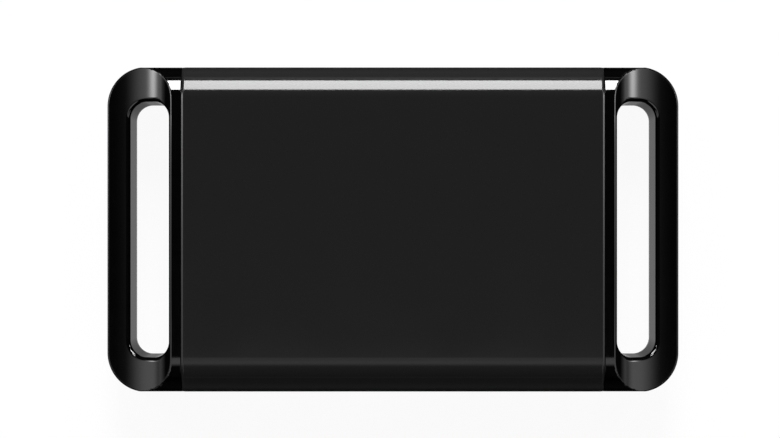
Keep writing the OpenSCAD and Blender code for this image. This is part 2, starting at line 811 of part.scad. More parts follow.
module power_button() {
    color([0.1, 0.1, 0.1]) difference() {
        union() {
            on_side(flange_y, button_face_y) button_outline(0);
            on_side(flange_y - flange_t, flange_y) button_outline(flange_rim);
            on_side(plunger_tip, flange_y) circle(stem_r);
        }
        on_side(seal_y - seal_slot / 2, seal_y + seal_slot / 2) difference() {
            circle(bore_r);
            circle(seal_r - seal_d / 2 - gasket_gap);
        }
    }
}

module button_seal() {
    color([0.6, 0.1, 0.05]) translate([0, -seal_y, button_z]) rotate([90, 0, 0])
        rotate_extrude() translate([seal_r, 0]) circle(d = seal_d, $fn = 32);
}

module switch_body() {
    w = switch_w / 2;
    color([0.2, 0.2, 0.2]) difference() {
        span([-w, -switch_y, board_top], [w, switch_depth - switch_y, board_top + switch_h]);
        on_side(dome_y, switch_y - switch_wall) circle(dome_r + gasket_gap);
        on_side(dome_y, switch_y + over) circle(d = plunger_d + 2 * stem_gap);
    }
}

// Snap dome: a thin shell cut from two spheres
module switch_dome() {
    ball_r = (dome_r * dome_r + dome_h * dome_h) / (2 * dome_h);
    color([0.8, 0.8, 0.8]) translate([0, -dome_y, button_z]) rotate([90, 0, 0]) difference() {
        intersection() {
            translate([0, 0, dome_h - ball_r]) sphere(ball_r);
            cylinder(r = dome_r, h = dome_h + over);
        }
        translate([0, 0, dome_h - ball_r]) sphere(ball_r - dome_t);
    }
}

module switch_plunger() {
    color([0.9, 0.9, 0.85]) on_side(plunger_in, plunger_tip) circle(d = plunger_d);
}

module status_lamps() {
    y = cavity_y - collar_t - lamp_gap;
    color([0.95, 0.95, 0.8]) at_pipes()
        span([-lamp_w / 2, -y, board_top], [lamp_w / 2, lamp_depth - y, board_top + lamp_h]);
}

module light_pipes() {
    color([0.9, 0.9, 0.92]) at_pipes() {
        on_side(cavity_y - collar_t, half_w - button_sunk) circle(d = pipe_d);
        on_side(cavity_y - collar_t, cavity_y) circle(d = pipe_d + 2 * collar_rim);
    }
}

module charge_pads() {
    color([0.85, 0.65, 0.25]) for (s = [-1, 1]) translate([pad_x, s * pad_pitch / 2, 0]) {
        pad_form(0, 0);
        translate([0, 0, rear_t]) cylinder(d = pad_d * pad_head_share, h = pad_head_t);
    }
}

module charge_barrels() {
    color([0.8, 0.62, 0.3]) for (s = [-1, 1]) translate([pad_x, s * pad_pitch / 2, pin_split])
        cylinder(d = barrel_d, h = board_z - pin_split);
}

module charge_pins() {
    color([0.85, 0.68, 0.32]) for (s = [-1, 1]) translate([pad_x, s * pad_pitch / 2, pad_in])
        cylinder(d = pin_d, h = pin_split - pad_in);
}

module charge_magnets() {
    color([0.6, 0.6, 0.62]) for (s = [-1, 1]) translate([pad_x, s * magnet_y, magnet_z])
        cylinder(d = magnet_d, h = magnet_t);
}

main_frame();
front_cover();
front_tape();
rear_cover();
rear_gasket();
rear_screws();
frame_inserts();
rear_label();
vent_membrane();
main_board();
board_screws();
board_chips();
gnss_antenna();
gnss_electrode();
gnss_tape();
modem_module();
modem_shield();
sim_socket();
sim_card();
cell_antenna();
antenna_clip();
battery_cell();
battery_guard();
battery_pad();
battery_leads();
battery_plug();
battery_header();
power_button();
button_seal();
switch_body();
switch_dome();
switch_plunger();
status_lamps();
light_pipes();
charge_pads();
charge_barrels();
charge_pins();
charge_magnets();
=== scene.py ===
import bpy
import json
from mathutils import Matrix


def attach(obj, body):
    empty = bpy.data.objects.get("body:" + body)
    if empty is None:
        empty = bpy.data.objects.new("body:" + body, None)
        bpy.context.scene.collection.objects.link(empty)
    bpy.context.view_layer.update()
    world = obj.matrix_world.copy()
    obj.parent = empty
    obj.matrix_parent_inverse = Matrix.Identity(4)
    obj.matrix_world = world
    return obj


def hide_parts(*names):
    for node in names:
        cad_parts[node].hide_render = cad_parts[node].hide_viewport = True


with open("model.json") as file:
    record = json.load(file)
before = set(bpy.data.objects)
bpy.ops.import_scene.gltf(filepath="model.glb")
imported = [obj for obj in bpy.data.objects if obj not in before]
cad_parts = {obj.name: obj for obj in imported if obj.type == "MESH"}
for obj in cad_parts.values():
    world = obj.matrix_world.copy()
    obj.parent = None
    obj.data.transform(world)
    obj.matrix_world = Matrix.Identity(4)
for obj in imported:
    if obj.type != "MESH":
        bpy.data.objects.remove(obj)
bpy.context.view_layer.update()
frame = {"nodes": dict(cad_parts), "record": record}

import json
import math

import bmesh
import bpy
import numpy as np

mm = 0.001
nodes = frame["nodes"]
scene = bpy.context.scene
print("frame loaded:", len(nodes), "nodes")


# How the finish roughens with the slope of the face, and the painted shade that takes its reflection
# away there
slopeDullAndShade = {
    "rise": (38.5, 45),     # slope in degrees at which the polish and, as painted shade, the reflection start to fade, and are gone
    "fall": (80, 87),       # and where it comes back on the upright walls
    "rim": (60, 78),        # slopes over which the last reflection is painted out too, as shade
    "rimFar": 10,           # how much sooner on the far side
    "rimInside": 0.85,      # how much of it goes on the slots' walls
    "rimEnds": 0.142,       # and how much more on their ends
    "soonerFar": 3,         # how much earlier both come on the side of the lamp strip
    "soonerNear": 12,       # and on the other side
    "leans": (0.1, 0.45),   # how far a face leans to a side before it counts as that side's
}


# Goes from 0 to 1 between two values as a smooth S: t times t times three less two t
def ease(value, low, high):
    t = np.clip((value - low) / (high - low), 0, 1)
    return t * t * (3 - 2 * t)


# Quads of a grid of rows and columns, each way closed on itself or open
def gridQuads(rows, columns, closeRows, closeColumns):
    i = np.arange(rows if closeRows else rows - 1)
    j = np.arange(columns if closeColumns else columns - 1)
    a, b = np.meshgrid(i, j, indexing="ij")
    c = (a + 1) % rows
    d = (b + 1) % columns
    quads = np.stack([a * columns + b, c * columns + b, c * columns + d, a * columns + d], -1)
    return quads.reshape(-1, 4)


# Signed volume under a set of quads: the sum of the volumes that each half quad spans with the origin
def signedVolume(points, quads):
    p = points[quads]
    first = np.einsum("ij,ij->i", p[:, 0], np.cross(p[:, 1], p[:, 2]))
    second = np.einsum("ij,ij->i", p[:, 0], np.cross(p[:, 2], p[:, 3]))
    return (first.sum() + second.sum()) / 6


# Object of quads from points in millimetres, turned outwards, with its own normals if they are given
def quadObject(name, points, quads, normals=None):
    if signedVolume(points, quads) < 0:
        quads = quads[:, ::-1]
    mesh = bpy.data.meshes.new(name)
    mesh.vertices.add(len(points))
    mesh.vertices.foreach_set("co", (points * mm).astype(np.float32).ravel())
    mesh.loops.add(quads.size)
    mesh.loops.foreach_set("vertex_index", quads.astype(np.int32).ravel())
    mesh.polygons.add(len(quads))
    mesh.polygons.foreach_set("loop_start", np.arange(0, quads.size, 4, dtype=np.int32))
    mesh.polygons.foreach_set("use_smooth", np.ones(len(quads), dtype=bool))
    mesh.update(calc_edges=True)
    mesh.validate()
    if normals is not None:
        mesh.normals_split_custom_set_from_vertices(normals.astype(np.float32))
    piece = bpy.data.objects.new(name, mesh)
    scene.collection.objects.link(piece)
    return piece


# Writes at each point how rough the finish is and how much of its reflection is painted out as shade: a
# smooth rise where the face turns past a slope and a smooth fall before it stands upright, and whatever
# the caller adds; the rim is a second such rise that paints out the rest of the reflection
def writeDullAndShade(piece, extra=None):
    d = slopeDullAndShade
    count = len(piece.data.vertices)
    normals = np.empty(count * 3, dtype=np.float32)
    piece.data.vertices.foreach_get("normal", normals)
    slope = np.degrees(np.arccos(np.clip(normals[2::3], -1, 1)))
    far = ease(normals[1::3], *d["leans"])
    sooner = d["soonerFar"] * far + d["soonerNear"] * ease(-normals[1::3], *d["leans"])
    upright = 1 - ease(slope, *d["fall"])
    dullAndShade = ease(slope + sooner, *d["rise"]) * upright
    rim = ease(slope + sooner + d["rimFar"] * far, *d["rim"]) * upright
    if extra is not None:
        dullAndShade = np.maximum(dullAndShade, extra)
        rim = rim * (extra == 0) + (d["rimInside"] + d["rimEnds"] * np.abs(normals[1::3])) * extra
    for name, value in (("dullAndShade", dullAndShade), ("rim", rim)):
        layer = piece.data.attributes.new(name, "FLOAT", "POINT")
        layer.data.foreach_set("value", value.astype(np.float32))


# Copy of a node's mesh without doubles, cut by planes of a place and a direction in millimetres,
# what lies past each taken off and the cut closed, with the edges sharper than an angle marked
def cutNode(node, name, cuts, angle=28):
    piece = bpy.data.objects.new(name, nodes[node].data.copy())
    scene.collection.objects.link(piece)
    work = bmesh.new()
    work.from_mesh(piece.data)
    bmesh.ops.remove_doubles(work, verts=work.verts, dist=0.001 * mm)
    for place, aim in cuts:
        everything = work.verts[:] + work.edges[:] + work.faces[:]
        bmesh.ops.bisect_plane(work, geom=everything, dist=1e-7, plane_co=[v * mm for v in place],
                               plane_no=aim, clear_outer=True)
        rims = [e for e in work.edges if e.is_boundary]
        bmesh.ops.holes_fill(work, edges=rims, sides=0)
    work.to_mesh(piece.data)
    work.free()
    piece.data.shade_smooth()
    piece.data.set_sharp_from_angle(angle=math.radians(angle))
    return piece


# Merges doubles, closes open ends and marks the edges sharper than an angle
def cleanMesh(piece, angle, merge=0.002):
    work = bmesh.new()
    work.from_mesh(piece.data)
    bmesh.ops.remove_doubles(work, verts=work.verts, dist=merge * mm)
    rims = [e for e in work.edges if e.is_boundary]
    bmesh.ops.holes_fill(work, edges=rims, sides=0)
    bmesh.ops.recalc_face_normals(work, faces=work.faces)
    work.to_mesh(piece.data)
    work.free()
    piece.data.shade_smooth()
    piece.data.set_sharp_from_angle(angle=math.radians(angle))


# The frame's two ends, each one ring round a strap slot
endShape = {
    "bodyX": 26.93,         # where the body's front ends and the scoop starts
    "seamX": 25.8,          # the seam beside the cover
    "halfLength": 35.25,
    "halfWidth": 19.9,
    "height": 15,
    "frontRadius": 4,       # arcs of the long edges, front and rear
    "rearRadius": 1.8,
    "cornerRadius": 4.7,    # corners of the outline in plan
    "slotX": 29.8,
    "slotHalfX": 2.55,
    "slotHalfY": 15.66,
    "slotRadius": 2.05,
    "scoopRadius": 19.5,    # hollow over the loop, a cylinder that starts at this slope
    "scoopSlope": 48,
    "loopRise": 1,          # how high the loop's underside lies
    "tailRadius": 2.4,      # and its arc up to the tip
    "tailFrom": 30,
    "skirt": 3.2,           # height of the cover's lower edge
    "bandDrop": 0.18,       # how far the front lies under the cover's at the seam
    "dropFrom": (4, 11),    # heights over which that drop comes in
    "facetCut": 0.026,      # depth of the small facet between the front and the scoop
    "facetThin": (16.4, 18.2, 0.6),     # where across the width it loses this share of its depth
    "facetEnd": (29, 31),   # and where along the length it dies out
    "facetShare": 0.74,     # share of the scoop's direction in the facet's
    "facetScale": 0.927,    # length of the two directions mixed
    "facetRound": 0.015,
    "outerRound": 0.25,     # rounding of the loop's outer edge, and where it comes in
    "outerFrom": (30, 32),
    "slotRoundBody": 0.1,   # rounding of the slot's edge at the body
    "slotRound": 0.5,       # and at the outer bar, and where it comes in
    "slotRoundFrom": (27.5, 29),
    "seamRound": 0.05,
    "gridEdge": 0.36,       # strip beside each edge where the grid's lines draw together
    "gridBend": 14.2,       # from here on they draw together along the seam too
    "columns": (20, 44, 32, 50),    # mesh steps: seam, bend, long side, corner
    "rows": (11, 33, 12, 30, 16),   # and beside an edge, across, up the slot, down the wall, below
    "wallDullAndShade": 0.995,      # dullness of the slot's walls, with their reflection painted out as shade
    "wallReach": 0.12,      # distance from them at which it has gone, and over which it fades
    "wallBlend": 0.1,
    "wallSlope": (70, 86),  # slopes between which it comes in
    "onsetFrom": 15.3,      # where the front starts to fall, before its arc, over this run
    "onsetRun": 0.45,
    "onsetTilt": 1.3,
}
scoopX = endShape["bodyX"] + endShape["scoopRadius"] * math.sin(math.radians(endShape["scoopSlope"]))
scoopZ = endShape["height"] + endShape["scoopRadius"] * math.cos(math.radians(endShape["scoopSlope"]))


# Distance to a rounded rectangle: length of what lies past the inner box, less the corner radius
def boxField(a, b, halfA, halfB, radius):
    pastA = np.abs(a) - halfA + radius
    pastB = np.abs(b) - halfB + radius
    outside = np.hypot(np.maximum(pastA, 0), np.maximum(pastB, 0))
    return outside + np.minimum(np.maximum(pastA, pastB), 0) - radius


# The larger of two distances, carried round a fillet where both are within its radius
def roundMax(a, b, radius):
    corner = np.hypot(np.maximum(radius + a, 0), np.maximum(radius + b, 0))
    return np.minimum(-radius, np.maximum(a, b)) + corner


# Small drop of the front before its arc: its slope rises evenly, holds, and ends where the arc's own
# slope has grown as large
def frontOnset(y):
    s = endShape
    tilt = math.tan(math.radians(s["onsetTilt"]))
    bend = s["halfWidth"] - s["frontRadius"]
    last = s["frontRadius"] * tilt
    held = s["onsetFrom"] + s["onsetRun"]
    away = np.abs(y)
    ramp = np.clip(away - s["onsetFrom"], 0, s["onsetRun"]) ** 2 / (2 * s["onsetRun"])
    drop = tilt * (ramp + np.clip(away - held, 0, bend + last - held))
    return drop - np.clip(away - bend, 0, last) ** 2 / (2 * s["frontRadius"])


# Distance to the end's surface: the long section and the plan outline, less the scoop with its
# facet, the slot, the raised underside and what lies past the seam, each joined by its own fillet
def endField(p):
    s = endShape
    x, y, z = p[..., 0], p[..., 1], p[..., 2]
    half = s["height"] / 2
    radius = np.where(z > half, s["frontRadius"], s["rearRadius"])
    upper = ease(z, *s["dropFrom"])
    raised = z + s["bandDrop"] * upper
    side = boxField(y, raised + upper * frontOnset(y) - half, s["halfWidth"], half, radius)
    plan = boxField(x, y, s["halfLength"], s["halfWidth"], s["cornerRadius"])
    scoop = s["scoopRadius"] - np.hypot(x - scoopX, raised - scoopZ)
    edge = s["facetRound"] + (s["outerRound"] - s["facetRound"]) * ease(x, *s["outerFrom"])
    share = s["facetShare"]
    thinFrom, thinTo, thinBy = s["facetThin"]
    cut = s["facetCut"] * (1 - thinBy * ease(np.abs(y), thinFrom, thinTo))
    facet = (share * scoop + (1 - share) * side) / s["facetScale"] + cut
    facet = facet - ease(x, *s["facetEnd"])
    field = roundMax(np.maximum(side, plan), facet, s["facetRound"])
    field = roundMax(field, scoop, edge)
    slot = -boxField(x - s["slotX"], y, s["slotHalfX"], s["slotHalfY"], s["slotRadius"])
    lip = s["slotRoundBody"] + (s["slotRound"] - s["slotRoundBody"]) * ease(x, *s["slotRoundFrom"])
    field = roundMax(field, slot, lip)
    slope = (x - s["bodyX"] - z) / math.sqrt(2)
    field = np.maximum(field, np.minimum(s["loopRise"] - z, slope))
    tailA = x - s["halfLength"] + s["tailRadius"]
    tailB = s["loopRise"] + s["tailRadius"] - z
    tail = np.hypot(np.maximum(tailA, 0), np.maximum(tailB, 0)) - s["tailRadius"]
    tail = tail + np.minimum(np.maximum(tailA, tailB), 0)
    field = np.where(x > s["tailFrom"], np.maximum(field, tail), field)
    seam = s["seamX"] - x
    return np.where(z > s["skirt"], roundMax(field, seam, s["seamRound"]), np.maximum(field, seam))


# Direction in which a field grows: differences over a small step along each axis
def fieldSlope(field, p, step=0.001):
    parts = []
    for axis in range(3):
        shift = np.zeros(3)
        shift[axis] = step
        parts.append((field(p + shift) - field(p - shift)) / (2 * step))
    return np.stack(parts, -1)


# Moves points onto the field's zero surface along its slope, and returns them with their normals
def ontoSurface(field, p, rounds=6, reach=0.4):
    for _ in range(rounds):
        slope = fieldSlope(field, p)
        length = np.maximum(np.einsum("...i,...i->...", slope, slope), 0.05)
        step = np.clip(field(p) / length, -reach, reach)
        p = p - slope * step[..., None]
    slope = fieldSlope(field, p)
    return p, slope / np.maximum(np.linalg.norm(slope, axis=-1, keepdims=True), 1e-6)


# Matched inner and outer outline of the ring: straight runs and arcs, paired piece by piece
def ringOutlines():
    s = endShape
    slotEnd = s["slotHalfY"] - s["slotRadius"]
    slotIn = s["slotX"] - s["slotHalfX"]
    slotOut = s["slotX"] + s["slotHalfX"]
    cornerX = s["halfLength"] - s["cornerRadius"]
    cornerY = s["halfWidth"] - s["cornerRadius"]

    def arc(x, y, radius, turn):
        return np.stack([x + radius * np.cos(turn), y + radius * np.sin(turn)], -1)

    def run(start, end, t):
        return np.array(start) + (np.array(end) - np.array(start)) * t[:, None]

    a, b, c, d = (np.linspace(0, 1, count, endpoint=False) for count in s["columns"])
    e = np.linspace(0, 1, s["columns"][0])
    quarter = math.pi / 2
    inner = np.concatenate([
        run((slotIn, 0), (slotIn, slotEnd), a),
        arc(slotIn + s["slotRadius"], slotEnd, s["slotRadius"], math.pi - quarter * b),
        run((slotIn + s["slotRadius"], s["slotHalfY"]), (slotOut - s["slotRadius"], s["slotHalfY"]), c),
        arc(slotOut - s["slotRadius"], slotEnd, s["slotRadius"], quarter * (1 - d)),
        run((slotOut, slotEnd), (slotOut, 0), e),
    ])
    outer = np.concatenate([
        run((s["seamX"], 0), (s["seamX"], s["gridBend"]), a),
        run((s["seamX"], s["gridBend"]), (s["seamX"], s["halfWidth"]), np.sin(quarter * b)),
        run((s["seamX"], s["halfWidth"]), (cornerX, s["halfWidth"]), c * c),
        arc(cornerX, cornerY, s["cornerRadius"], quarter * (1 - d)),
        run((s["halfLength"], cornerY), (s["halfLength"], 0), e),
    ])
    turned = np.array([1, -1])
    inner = np.concatenate([inner, inner[-2:0:-1] * turned])
    outer = np.concatenate([outer, outer[-2:0:-1] * turned])
    return inner, outer


# Height of the front before the fillets: the lower of the scoop's arc and the long section's arc
def frontHeight(x, y):
    s = endShape
    past = np.clip(np.abs(y) - s["halfWidth"] + s["frontRadius"], 0, s["frontRadius"])
    side = s["height"] - s["frontRadius"] + np.sqrt(s["frontRadius"] ** 2 - past ** 2) - s["bandDrop"]
    reach = np.maximum(s["scoopRadius"] ** 2 - (x - scoopX) ** 2, 0)
    scoop = np.where(x > s["bodyX"], scoopZ - np.sqrt(reach), s["height"])
    return np.minimum(side, scoop - s["bandDrop"])


# Ring: up the slot's wall, across the front, down the outer wall and back below, with the lines
# drawn together as a square law towards each edge
def makeEnd(name, turned):
    s = endShape
    inner, outer = ringOutlines()
    width = np.linalg.norm(outer - inner, axis=1)
    edge = s["gridEdge"]
    nearRows, frontRows, slotRows, outerRows, backRows = s["rows"]
    near = edge * np.linspace(0, 1, nearRows) ** 2
    middle = np.linspace(0, 1, frontRows)[1:-1]

    def heights(top, low, count):
        close = near[1:, None]
        rest = (top - edge) + (low - top + edge) * np.linspace(0, 1, count)[1:, None]
        return np.concatenate([top - close, rest])

    innerTop = frontHeight(inner[:, 0], inner[:, 1])
    outerTop = frontHeight(outer[:, 0], outer[:, 1])
    innerLow = np.clip(inner[:, 0] - s["bodyX"], 0, s["loopRise"])
    outerLow = np.clip(outer[:, 0] - s["bodyX"], 0, s["loopRise"])
    slotWall = heights(innerTop, innerLow, slotRows)[::-1]
    outerWall = heights(outerTop, outerLow, outerRows)
    far = width - near[::-1, None]
    across = np.concatenate([
        np.repeat(near[:, None], len(width), axis=1),
        edge + (width - 2 * edge) * middle[:, None],
        far,
    ]) / width
    back = 1 - (np.linspace(0, 1, backRows)[1:-1, None] ** 2) * np.ones(len(width))

    def place(share, z):
        flat = inner + (outer - inner) * share[..., None]
        return np.concatenate([flat, z[..., None]], -1)

    front = place(across, np.zeros_like(across))
    front[..., 2] = frontHeight(front[..., 0], front[..., 1])
    below = place(back, np.zeros_like(back))
    below[..., 2] = np.clip(below[..., 0] - s["bodyX"], 0, s["loopRise"])
    p = np.concatenate([
        place(np.zeros_like(slotWall), slotWall),
        front,
        place(np.ones_like(outerWall), outerWall),
        below,
    ])
    p, normals = ontoSurface(endField, p)
    rows, columns = p.shape[:2]
    p = p.reshape(-1, 3)
    normals = normals.reshape(-1, 3)
    # Painted shade on the slot's walls: their reflection is taken away on steep faces beside the slot's
    # outline
    hole = boxField(p[:, 0] - s["slotX"], p[:, 1], s["slotHalfX"], s["slotHalfY"], s["slotRadius"])
    steep = np.degrees(np.arccos(np.clip(normals[:, 2], -1, 1)))
    beside = ease(s["wallReach"] - hole, 0, s["wallBlend"])
    slotWallShade = s["wallDullAndShade"] * beside * ease(steep, *s["wallSlope"])
    if turned:
        half = np.array([-1, -1, 1])
        p = p * half
        normals = normals * half
    piece = quadObject(name, p, gridQuads(rows, columns, True, True), normals)
    writeDullAndShade(piece, slotWallShade)
    print(name, "rows", rows, "columns", columns)
    return piece


endRight = makeEnd("frame_end_right", False)
endLeft = makeEnd("frame_end_left", True)


# The frame between its ends: the construction's mesh cut upright just inside both seams
def makeCore():
    cut = endShape["seamX"] - 0.002
    core = cutNode("main_frame", "frame_core", [((side * cut, 0, 0), (side, 0, 0)) for side in (-1, 1)])
    even = core.modifiers.new("evenNormals", "WEIGHTED_NORMAL")     # keeps the flat faces flat
    even.keep_sharp = True
    return core


frameCore = makeCore()
print("frame done")


# The front cover
coverShape = {
    "halfLength": 25.78,
    "bevelStart": 25.4,     # where the small arc into the bevel begins
    "bevelArc": 0.11,       # and how long it is
    "bevelEnd": 25.71,
    "bevelTilt": 38,
    "bevelDepth": 0.3,
    "bevelLeft": 0.12,      # share of the bevel's depth that is left on the upright sides
    "bevelFade": (45, 75),  # slopes between which it fades
    "bevelRound": 0.02,     # lines beside the bevel's two edges, which keep them crisp
    "bevelLead": 0.03,
    "innerBreak": 0.05,     # broken edge on the inside
    "thickness": 1,
    "low": 3.2,
    "onset": (15.5, 15.6),  # where the front tips before its arc
    "onsetTilt": 1.4,
    "buttonAt": (0, 8.2),
    "buttonHalf": (4.1, 1.7),
    "pipeAt": (7.6, 8.2),
    "pipeRadius": 0.73,
    "rimRound": 0.12,
    "cellLow": 5.5,         # borders of the cells that hold the three holes
    "cellHigh": 10.9,
    "cells": (-9.1, -5.8, 5.8, 9.1),
    "ringOut": 2.2,         # guide rings of a cell: past the rim in its radii, and down the wall
    "ringIn": 0.6,
    "columns": (12, 17, 61),        # mesh lines beside the cells, and in a pipe's and the button's
    "cellRows": 28,
    "lowRows": 5,
    "gridInset": 0.1,       # how far the face's grid stays off the bevels
    "sharp": 32,            # edges sharper than this stay crisp
}


# Path round the section with its inward normals: side, quarter arc, front, quarter arc, side
def coverPath(wallRows):
    s = endShape
    radius = s["frontRadius"]
    turn = np.linspace(0, math.pi / 2, 49)[1:-1]
    flat = s["halfWidth"] - radius
    top = s["height"] - radius
    arcY = -flat - radius * np.cos(turn)
    arcZ = top + radius * np.sin(turn)
    low, high = coverShape["onset"]
    rightY = np.concatenate([np.linspace(0, low, 7)[1:], [high, flat]])
    frontY = np.concatenate([-rightY[::-1], [0], rightY])
    tilt = math.tan(math.radians(coverShape["onsetTilt"]))
    drop = tilt * np.maximum(np.abs(frontY) - (low + high) / 2, 0)
    arcZ = arcZ - drop[0]
    y = np.concatenate([np.full(len(wallRows), -s["halfWidth"]), arcY, frontY,
                        -arcY[::-1], np.full(len(wallRows), s["halfWidth"])])
    z = np.concatenate([wallRows, arcZ, s["height"] - drop, arcZ[::-1], wallRows[::-1]])
    inY = np.concatenate([np.ones(len(wallRows)), np.cos(turn), np.zeros(len(frontY)),
                          -np.cos(turn[::-1]), -np.ones(len(wallRows))])
    inZ = -np.sqrt(np.maximum(1 - inY ** 2, 0))
    return np.stack([y, z], -1), np.stack([inY, inZ], -1)


# Closed profile of length and depth, carried along the path: out along the face, over a small arc
# into the straight bevel, down the end, and back along the inner face
def coverProfile(columns):
    c = coverShape
    end = c["halfLength"]
    tilt = math.radians(c["bevelTilt"])
    turn = np.linspace(0, tilt, 6)
    radius = c["bevelArc"] / math.sin(tilt)
    arc = np.stack([c["bevelStart"] + radius * np.sin(turn), radius * (1 - np.cos(turn))], -1)
    run = c["bevelEnd"] - arc[-1, 0]
    fall = run * math.tan(tilt)
    close = c["bevelRound"]
    straight = arc[-1] + np.array([[close / run], [1 - close / run], [1]]) * np.array([run, fall])
    half = np.concatenate([
        [[c["bevelStart"] - c["bevelLead"], 0]],
        arc,
        straight,
        [[end, c["bevelDepth"] + close],
         [end, c["thickness"] - c["innerBreak"]],
         [end - c["innerBreak"], c["thickness"]]],
    ])
    face = np.stack([columns, np.zeros(len(columns))], -1)
    back = np.stack([columns[::-1], np.full(len(columns), c["thickness"])], -1)
    left = half[::-1] * np.array([-1, 1])
    return np.concatenate([face, half, back, left])


# Cell round a hole: from the cell's border in to the hole's outline at the point nearest to each
# border point, round its rim, through the wall and out again on the inner face
def holeCell(columns, rows, centre, halfRun, radius):
    c = coverShape
    border = np.concatenate([
        np.stack([columns[:-1], np.full(len(columns) - 1, rows[0])], -1),
        np.stack([np.full(len(rows) - 1, columns[-1]), rows[:-1]], -1),
        np.stack([columns[:0:-1], np.full(len(columns) - 1, rows[-1])], -1),
        np.stack([np.full(len(rows) - 1, columns[0]), rows[:0:-1]], -1),
    ])
    local = border - np.array(centre)
    spine = np.stack([np.clip(local[:, 0], -halfRun, halfRun), np.zeros(len(local))], -1)
    away = local - spine
    away = away / np.linalg.norm(away, axis=1, keepdims=True)
    turn = np.linspace(0, math.pi / 2, 6)
    lip = c["rimRound"]
    reach = radius + lip - lip * np.sin(turn)
    depth = lip - lip * np.cos(turn)
    rings = [(border, 0), (spine + centre + away * (radius + c["ringOut"] * lip), 0)]
    rings += [(spine + centre + away * r, d) for r, d in zip(reach, depth)]
    rings += [(spine + centre + away * radius, c["thickness"] * c["ringIn"])]
    rings += [(spine + centre + away * radius, c["thickness"]), (border, c["thickness"])]
    flat = np.stack([r for r, _ in rings])
    deep = np.array([d for _, d in rings])[:, None] * np.ones(len(border))
    p = np.stack([flat[..., 0], -endShape["halfWidth"] + deep, flat[..., 1]], -1)
    return p.reshape(-1, 3), gridQuads(len(rings), len(border), False, True)


# Cover: the profile carried along the path, the bevel made shallower on the upright sides, with the
# button's side left open round the holes and filled by a cell for each
def makeCover():
    c = coverShape
    first, second, third, fourth = c["cells"]
    last = c["bevelStart"] - c["gridInset"]
    arcFrom = endShape["height"] - endShape["frontRadius"]
    beside, pipeLines, buttonLines = c["columns"]
    columns = np.unique(np.round(np.concatenate([
        np.linspace(-last, first, beside),
        np.linspace(first, second, pipeLines),
        np.linspace(second, third, buttonLines),
        np.linspace(third, fourth, pipeLines),
        np.linspace(fourth, last, beside),
    ]), 6))
    cellRows = np.linspace(c["cellLow"], c["cellHigh"], c["cellRows"])
    lowRows = np.linspace(c["low"], c["cellLow"], c["lowRows"])
    wallRows = np.unique(np.round(np.concatenate([lowRows, cellRows, [arcFrom]]), 6))
    path, inward = coverPath(wallRows)
    profile = coverProfile(columns)
    tilt = np.degrees(np.arccos(np.clip(-inward[:, 1], 0, 1)))
    share = 1 - (1 - c["bevelLeft"]) * ease(tilt, *c["bevelFade"])
    deep = profile[None, :, 1] * np.where(profile[:, 1] < c["thickness"] / 2, share[:, None], 1)
    flat = path[:, None, :] + inward[:, None, :] * deep[..., None]
    along = np.broadcast_to(profile[None, :, 0:1], flat.shape[:2] + (1,))
    p = np.concatenate([along, flat], -1)
    rows, count = p.shape[:2]
    quads = gridQuads(rows, count, False, True)
    middle = p.reshape(-1, 3)[quads].mean(1)
    within = (middle[:, 0] > first) & (middle[:, 0] < fourth)
    within &= (middle[:, 2] > c["cellLow"]) & (middle[:, 2] < c["cellHigh"])
    within &= middle[:, 1] < -endShape["halfWidth"] + c["thickness"] + 0.01
    points = [p.reshape(-1, 3)]
    faces = [quads[~within]]
    run = c["buttonHalf"][0] - c["buttonHalf"][1]
    pipeX, pipeZ = c["pipeAt"]
    holes = [(first, second, (-pipeX, pipeZ), 0, c["pipeRadius"]),
             (second, third, c["buttonAt"], run, c["buttonHalf"][1]),
             (third, fourth, (pipeX, pipeZ), 0, c["pipeRadius"])]
    for low, high, centre, halfRun, radius in holes:
        own = columns[(columns > low - 1e-4) & (columns < high + 1e-4)]
        cell, cellQuads = holeCell(own, np.round(cellRows, 6), centre, halfRun, radius)
        faces.append(cellQuads[:, ::-1] + sum(len(q) for q in points))
        points.append(cell)
    piece = quadObject("cover_shell", np.concatenate(points), np.concatenate(faces))
    cleanMesh(piece, c["sharp"])
    writeDullAndShade(piece)
    print("cover rows", rows, "columns", count)
    return piece


coverShell = makeCover()


# The button's cap and the lenses of the light pipes; what lies inside is cut from the construction
buttonShape = {
    "centre": (0, 8.2),
    "face": -19.85,
    "halfRun": 2.4,
    "radius": 1.6,
    "round": 0.3,
    "dish": 0.12,
    "depth": 1,
    "cutAt": -18.86,        # from here inwards the construction's own stem is kept
    "sharp": 40,
}
pipeShape = {
    "centres": ((-7.6, 8.2), (7.6, 8.2)),
    "face": -19.85,
    "radius": 0.7,
    "dome": 0.045,
    "round": 0.06,
    "depth": 1.6,
    "cutAt": -18.26,
    "sharp": 40,
}


# Points of a long rounded outline: straight runs and half circles round a spine, with directions
def stadiumSpine(halfRun, count):
    half = np.linspace(-math.pi / 2, math.pi / 2, count)
    runs = np.linspace(halfRun, -halfRun, count)[1:-1]
    right = np.stack([np.full(count, halfRun), np.zeros(count)], -1)
    top = np.stack([runs, np.zeros(len(runs))], -1)
    spine = np.concatenate([right, top, -right, -top])
    aim = np.concatenate([
        np.stack([np.cos(half), np.sin(half)], -1),
        np.broadcast_to([0.0, 1.0], (len(runs), 2)),
        -np.stack([np.cos(half), np.sin(half)], -1),
        np.broadcast_to([0.0, -1.0], (len(runs), 2)),
    ])
    return spine, aim


